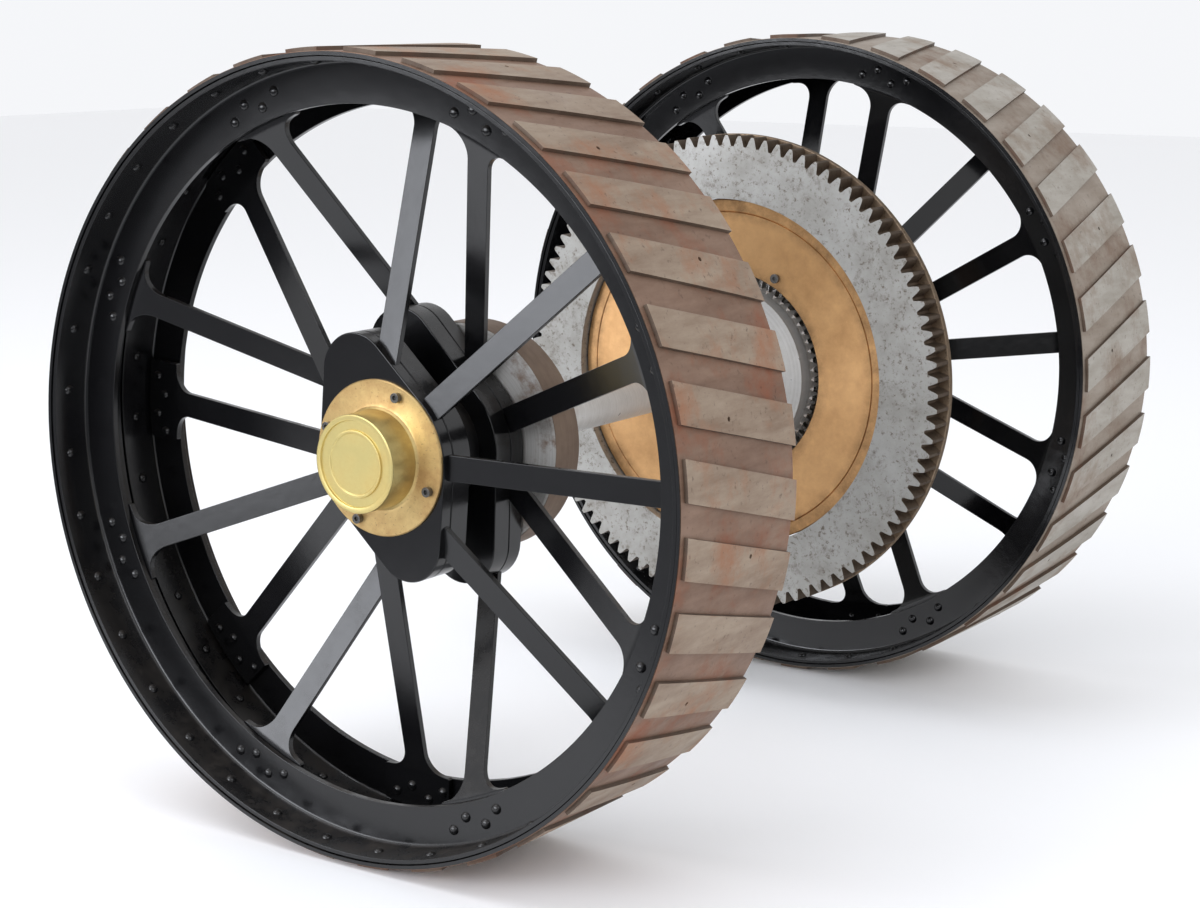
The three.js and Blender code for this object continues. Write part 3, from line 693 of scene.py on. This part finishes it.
def hub_cap(label, side, body):
    """Brass cap with a plain ring and a plain centre disc turned on its front."""
    def at(distance):
        return along(side, distance)
    front = CAP_FRONT
    back = HUB_FACE - SEAT_GAP
    flange_front = back - CAP_FLANGE
    profile = [
        (0, at(front + 0.9)), (22.6, at(front + 0.9)), (23.2, at(front + 0.2)), (24.2, at(front)),
        (25.2, at(front + 0.2)), (25.6, at(front + 1.6)), (32.4, at(front + 1.6)),
        (32.9, at(front + 0.2)), (33.6, at(front)), (CAP_R - 1.2, at(front)),
        (CAP_R - 0.3, at(front + 0.5)), (CAP_R, at(front + 1.6)),
        (CAP_R, at(flange_front - 4.2)), (CAP_R + 0.5, at(flange_front - 2.2)),
        (CAP_R + 2.2, at(flange_front - 0.6)), (CAP_R + 4.5, at(flange_front)),
        (CAP_FLANGE_R - 0.8, at(flange_front)), (CAP_FLANGE_R, at(flange_front + 0.8)),
        (CAP_FLANGE_R, at(back)), (CAP_BORE_R, at(back)), (CAP_BORE_R, at(front + CAP_FRONT_WALL)),
        (0, at(front + CAP_FRONT_WALL)),
    ]
    piece(f"{label}_hub_cap_visual", [(*lathe(profile), BRASS)], body,
          [f"{label}_hub_cap"], sharp=28)
    screws = []
    for k in range(CAP_SCREWS):
        x, z = polar(CAP_SCREW_R, CAP_SCREW_PHASE + 360 * k / CAP_SCREWS)
        screws.append(socket_screw(x, z, at(flange_front), side))
    piece(f"{label}_cap_screws", [(*joined(screws), SCREW)], body, bevel_mm=0.25)


def socket_screw(x, z, y, out, radius=3.8, height=4.2, socket=2.0):
    """A cap screw head with a six-sided socket, standing out along Y."""
    sides = 24
    vertices, faces = [], []
    tip = y + out * height
    floor = y + out * height * 0.45
    loops = ((radius, y, False), (radius, tip, False), (socket, tip, True), (socket, floor, True))
    for r, level, six_sided in loops:
        for k in range(sides):
            a = 2 * math.pi * k / sides
            reach = r
            if six_sided:
                part = (a % (math.pi / 3)) - math.pi / 6
                reach = r * math.cos(math.pi / 6) / math.cos(part)
            vertices.append((x + reach * math.cos(a), level, z + reach * math.sin(a)))
    for row in range(3):
        for k in range(sides):
            a, b = row * sides + k, row * sides + (k + 1) % sides
            faces.append((a, b, b + sides, a + sides))
    faces.append(tuple(range(sides)))
    faces.append(tuple(range(3 * sides, 4 * sides)))
    return vertices, faces


def tapped_holes(label, side):
    """Where every second strake has a tapped hole, near either edge of the rim in turn: (angle, y)."""
    first, places = TAPPED_HOLES[label]
    holes = []
    for number in range(first, STRAKES, 2):
        distance, shift = places[(number - first) // 2 % 2]
        y = along(side, distance)
        holes.append((strake_middle(label, side, number, y) + shift, y))
    return holes


def cut_holes(obj, holes, radius):
    """Cuts radial holes through the strakes."""
    pins = []
    count = HOLE_ROUND
    for angle, y in holes:
        vertices = []
        for reach in (RIM_R - 1.2, RIM_R + STRAKE_THICK + 3):
            cx, cz = polar(reach, angle)
            tx, tz = polar(1, angle + 90)
            for k in range(count):
                across, up = polar(radius, 360 * k / count)
                vertices.append((cx + tx * across, y + up, cz + tz * across))
        faces = [(k, (k + 1) % count, count + (k + 1) % count, count + k) for k in range(count)]
        faces += [tuple(range(count)), tuple(range(count, 2 * count))]
        pins.append((vertices, faces))
    points, faces = joined(pins)
    mesh = bpy.data.meshes.new("hole_cutter")
    mesh.from_pydata([(x * MM, y * MM, z * MM) for x, y, z in points], [], faces)
    tidy = bmesh.new()
    tidy.from_mesh(mesh)
    bmesh.ops.recalc_face_normals(tidy, faces=tidy.faces)
    tidy.to_mesh(mesh)
    tidy.free()
    cutter = bpy.data.objects.new("hole_cutter", mesh)
    bpy.context.collection.objects.link(cutter)
    boolean = obj.modifiers.new("holes", "BOOLEAN")
    boolean.operation = "DIFFERENCE"
    boolean.solver = "EXACT"
    boolean.object = cutter
    bpy.context.view_layer.update()
    evaluated = obj.evaluated_get(bpy.context.evaluated_depsgraph_get())
    result = bpy.data.meshes.new_from_object(evaluated)
    obj.modifiers.clear()
    obj.data = result
    bpy.data.objects.remove(cutter)


WHEEL_LOOKS = {"near": (TREAD_NEAR, PLATE_NEAR, PAINT_NEAR), "far": (TREAD_FAR, PLATE_FAR, PAINT_FAR)}


def rim(label, side, body):
    """The rim plate, bare outside between the strakes and painted elsewhere, and the strakes on it."""
    tread, plate_steel, paint = WHEEL_LOOKS[label]
    outer, inner = along(side, 0), along(side, RIM_WIDTH)
    inside_r = RIM_R - RIM_PLATE
    lip = side * 0.6
    band = lathe([(RIM_R, outer - lip), (RIM_R, inner + lip),
                  (RIM_R - 1, inner + lip), (RIM_R - 1, outer - lip)], RIM_ROUND)
    sheet = lathe([(RIM_R - 0.4, outer), (inside_r, outer), (inside_r, inner), (RIM_R - 0.4, inner),
                   (RIM_R - 1.1, inner + side * 0.3), (RIM_R - 1.1, outer - side * 0.3)], RIM_ROUND)
    piece(f"{label}_rim_plate", [(*band, plate_steel), (*sheet, paint)], body,
          [f"{label}_rim"])
    points, faces = joined([strake(label, side, k) for k in range(STRAKES)])
    layer = len(points) // STRAKES // 2
    walls = [face for face in faces if len({i // layer for i in face}) > 1]
    flats = [face for face in faces if len({i // layer for i in face}) == 1]
    # The side walls take the dark edge colour, which paints the shadow line along each strake, with some
    # dirt.
    strips = piece(f"{label}_strakes", [(points, flats, tread), (points, walls, STRAKE_EDGE_SHADE_AND_DIRT)],
                   body, sharp=50)
    cut_holes(strips, tapped_holes(label, side), 1.75)
    soften(strips, 0.35, 50)


def wheel(label, side):
    """All the pieces of one wheel. Its CAD bush stays."""
    body = f"{label}_wheel"
    paint = WHEEL_LOOKS[label][-1]
    rim(label, side, body)

    ring_start = {"outer": FLANGE_EDGE, "inner": RIM_WIDTH - FLANGE_EDGE - FLANGE_WIDTH}
    for name, start in ring_start.items():
        piece(f"{label}_{name}_t_ring_visual", [(*t_ring(side, start), paint)], body,
              [f"{label}_{name}_t_ring"], 0.5, 50)

    sunk = 0.2  # into the flange
    heads = []
    for distance in FLANGE_RIVETS:
        y = along(side, distance)
        for number in range(STRAKES):
            x, z = polar(FLANGE_R - FLANGE_THICK + sunk, strake_middle(label, side, number, y))
            heads.append(dome((x, y, z), (-x, 0, -z), RIVET_R, FLANGE_RIVET_HEIGHT))

    # The inner ring's spokes stand outboard of its web, the outer ring's inboard of it.
    lobe_angle = SPOKE_PHASE[label]["outer"] + 90
    stand = WEB_THICK / 2 + SEAT_GAP + SPOKE_THICK / 2
    for row, plate, inboard in (("inner", "outboard", -1), ("outer", "inboard", 1)):
        size = HUB_PLATE[plate]
        web = ring_start[row] + FLANGE_WIDTH / 2
        palm_y = along(side, web + inboard * stand)
        palm_face, web_face = web + inboard * (stand + SPOKE_THICK / 2), web - inboard * WEB_THICK / 2
        for k in range(SPOKES):
            turn = k * 360 / SPOKES
            angle = SPOKE_PHASE[label][row] + turn
            shape = spoke(hub_edge(size, angle - lobe_angle), along(side, size["seat"]), palm_y)
            name = f"{label}_{row}_ring_spoke_{k + 1}"
            piece(f"{name}_visual", [(*turned(shape, angle), paint)], body, [name], 0.5, 40)
            for radius, offset in PALM_RIVETS:
                x, z = polar(radius, PALM_PHASE[label][row] + turn + offset)
                for face, out in ((palm_face, inboard), (web_face, -inboard)):
                    y = along(side, face) + side * out * 0.1
                    heads.append(dome((x, y, z), (0, -side * out, 0), RIVET_R, PALM_RIVET_HEIGHT))
    piece(f"{label}_rivets", [(*joined(heads), paint)], body, sharp=60)

    hub(label, side, body, lobe_angle)
    hub_cap(label, side, body)


for wheel_label, wheel_side in SIDES.items():
    wheel(wheel_label, wheel_side)


# ---------------------------------------------------------------- axle and driving discs

axle_end = HALF_WIDTH - AXLE_SHORT
piece("axle_visual", [(*lathe([
    (0, -axle_end), (AXLE_R - 1.5, -axle_end), (AXLE_R, -axle_end + 1.5),
    (AXLE_R, axle_end - 1.5), (AXLE_R - 1.5, axle_end), (0, axle_end)], 96), BRIGHT)],
    "axle_assembly", ["axle"])


def driving_disc(label, side, body):
    """A thick disc: faces turned bright, edge left brown."""
    inner, outer = along(side, DISC_INNER_FACE), along(side, DISC_OUTER_FACE)
    step = side * 1.4
    bore = AXLE_R + 0.25
    edge = lathe([(DISC_R, inner - step), (DISC_R, outer + step), (DISC_R - DISC_BAND, outer + step),
                  (DISC_R - DISC_BAND, inner - step)])
    faces = lathe([
        (bore, inner), (DISC_R - 1.6, inner), (DISC_R - 0.3, inner - step), (DISC_R - 0.3, outer + step),
        (DISC_R - 1.6, outer), (bore, outer)])
    piece(f"{label}_driving_disc_visual", [(*edge, RUSTY_SIDE), (*faces, DISC_FACE)], body,
          [f"{label}_driving_disc"])


driving_disc("near", -1, "axle_assembly")
driving_disc("far", 1, "far_driver")

# ---------------------------------------------------------------- ring gear


def gear_loops():
    """Outer and inner loops of the ring gear, with curved tooth flanks."""
    pitch = 360 / GEAR_TEETH
    # radius, then half the tooth's width there as a share of the pitch
    flank = [(GEAR_ROOT_R, 0.42), (GEAR_ROOT_R + 0.7, 0.37), (GEAR_ROOT_R + 3.0, 0.305),
             (GEAR_ROOT_R + 5.3, 0.25), (GEAR_TIP_R - 2.0, 0.18), (GEAR_TIP_R - 0.3, 0.115),
             (GEAR_TIP_R, 0.1)]
    outer, inner = [], []
    for k in range(GEAR_TEETH):
        middle = k * pitch
        shape = [(r, -share) for r, share in flank] + [(r, share) for r, share in reversed(flank)]
        for radius, share in shape:
            angle = middle + share * pitch
            outer.append(polar(radius, angle))
            inner.append(polar(GEAR_BORE_R, angle))
    return outer, inner


gear_outer, gear_inner = gear_loops()
shroud_y = GEAR_BACK_Y - GEAR_SHROUD
gear_vertices, gear_faces = ring_plate(gear_outer, gear_inner, GEAR_FACE_Y, shroud_y + 0.5)
edge_count = len(gear_outer)
teeth_faces = [f for f in gear_faces if max(f) < 2 * edge_count]
face_faces = [f for f in gear_faces if max(f) >= 2 * edge_count]
shroud_rim = lathe([
    (GEAR_SHROUD_R - GEAR_SHROUD_BAND, shroud_y), (GEAR_SHROUD_R - 0.4, shroud_y),
    (GEAR_SHROUD_R, shroud_y + 0.4), (GEAR_SHROUD_R, GEAR_BACK_Y - 0.5),
    (GEAR_SHROUD_R - GEAR_SHROUD_BAND, GEAR_BACK_Y - 0.5)], SHROUD_ROUND)
shroud_back = lathe([
    (GEAR_BORE_R, shroud_y + 1), (GEAR_SHROUD_R - 0.2, shroud_y + 1),
    (GEAR_SHROUD_R - 0.2, GEAR_BACK_Y - 0.5), (GEAR_SHROUD_R - 0.7, GEAR_BACK_Y),
    (GEAR_BORE_R, GEAR_BACK_Y)], SHROUD_ROUND)
piece("ring_gear_visual", [
    (gear_vertices, face_faces, GEAR), (gear_vertices, teeth_faces, TEETH), (*shroud_rim, SHROUD),
    (*shroud_back, GEAR)], "ring_gear_assembly", ["ring_gear"], 0.3, 40)

cover_back = COVER_Y + COVER_THICK
piece("gear_centre_cover_visual", [(*lathe([
    (COVER_BORE_R, COVER_Y + 1), (COVER_BORE_R + 1, COVER_Y), (COVER_GROOVE_R - 0.7, COVER_Y),
    (COVER_GROOVE_R, COVER_Y + 0.9), (COVER_GROOVE_R + 0.7, COVER_Y), (CENTRE_R - 0.8, COVER_Y),
    (CENTRE_R, COVER_Y + 0.8), (CENTRE_R, cover_back), (COVER_BORE_R, cover_back)]), BRONZE)],
    "ring_gear_assembly", ["gear_centre_cover"], sharp=25)

drum_start = cover_back + SEAT_GAP
piece("gear_centre_drum_visual", [(*lathe([
    (COVER_BORE_R, drum_start), (CENTRE_R, drum_start), (CENTRE_R, GEAR_BACK_Y), (DRUM_R, GEAR_BACK_Y),
    (DRUM_R, DRUM_END_Y - 1), (DRUM_R - 1, DRUM_END_Y), (COVER_BORE_R, DRUM_END_Y)]), IRON)],
    "ring_gear_assembly", ["gear_centre_drum"], sharp=25)

screw_x, screw_z = polar(COVER_BORE_R + COVER_SCREW_STANDS, COVER_SCREW_ANGLE)
cover_screw = socket_screw(screw_x, screw_z, COVER_Y, -1, radius=4.2, height=3.2, socket=1.8)
piece("cover_screw", [(*cover_screw, SCREW)], "ring_gear_assembly", bevel_mm=0.2)

# ---------------------------------------------------------------- CAD nodes that stay

kept = {
    "near_hub_bush": BRONZE, "far_hub_bush": BRONZE, "near_axle_nut": IRON, "far_axle_nut": IRON,
    "differential_spider": IRON, "near_side_gear": BRIGHT, "far_side_gear": BRIGHT,
    "bevel_pinion_1": BRIGHT, "bevel_pinion_2": BRIGHT, "bevel_pinion_3": BRIGHT,
}
for node_name, node_material in kept.items():
    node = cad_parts[node_name]
    node.data.materials.clear()
    node.data.materials.append(node_material)

# ---------------------------------------------------------------- floor, light and camera

FLOOR_HALF = 9.0
CARD_END = -0.9
floor_z = cad_low.z - 0.0005


def ground(name, to_y, z, shade):
    """A level sheet from the front edge of the floor to to_y."""
    mesh = bpy.data.meshes.new(name)
    half = FLOOR_HALF
    corners = ((-half, -half, z), (half, -half, z), (half, to_y, z), (-half, to_y, z))
    mesh.from_pydata(corners, [], [(0, 1, 2, 3)])
    obj = bpy.data.objects.new(name, mesh)
    bpy.context.collection.objects.link(obj)
    s = Shader(f"{name}_surface", 0.0, 0.55)
    s.bsdf.inputs["Base Color"].default_value = (*shade, 1)
    mesh.materials.append(s.material)
    return obj


ground("white_sheet", FLOOR_HALF, floor_z, (0.92, 0.92, 0.925))
# What faces the front mirrors something dark, so a dark card lies there that only mirrors show.
dark_card = ground("dark_card", CARD_END, floor_z + 0.002, (0.05, 0.05, 0.055))
dark_card.visible_camera = False
dark_card.visible_diffuse = False
dark_card.visible_shadow = False

world = bpy.data.worlds.new("studio")
bpy.context.scene.world = world
world.use_nodes = True
background = world.node_tree.nodes["Background"]
background.inputs["Color"].default_value = (0.965, 0.975, 1.0, 1)
background.inputs["Strength"].default_value = 0.95
bpy.context.scene.view_settings.view_transform = "Standard"


def soft_light(name, place, target, width, height, power):
    """A rectangular area light that faces its target."""
    data = bpy.data.lights.new(name, "AREA")
    data.shape = "RECTANGLE"
    data.size = width
    data.size_y = height
    data.energy = power
    data.color = (0.9, 0.93, 1.0)
    lamp = bpy.data.objects.new(name, data)
    bpy.context.collection.objects.link(lamp)
    lamp.location = place
    lamp.rotation_euler = (Vector(target) - Vector(place)).to_track_quat("-Z", "Y").to_euler()


soft_light("window", (-1.0, -3.3, 1.0), (0, -0.3, 0.2), 2.8, 1.5, 85)
soft_light("key", (-1.2, -1.2, 2.8), (0, 0, 0), 1.6, 1.6, 25)
soft_light("side", (2.6, -0.8, 1.9), (0, 0, 0), 1.6, 1.6, 20)

CAMERA_PLACE = (1.1180, -1.6683, 0.3369)
CAMERA_AZIMUTH = 34.7865
CAMERA_ELEVATION = 10.9604
camera_data = bpy.data.cameras.new("camera")
camera_data.sensor_width = 36
camera_data.lens = 70.805
camera = bpy.data.objects.new("camera", camera_data)
bpy.context.collection.objects.link(camera)
camera.location = CAMERA_PLACE
camera.rotation_euler = (math.radians(90 - CAMERA_ELEVATION), 0, math.radians(CAMERA_AZIMUTH))
bpy.context.scene.camera = camera
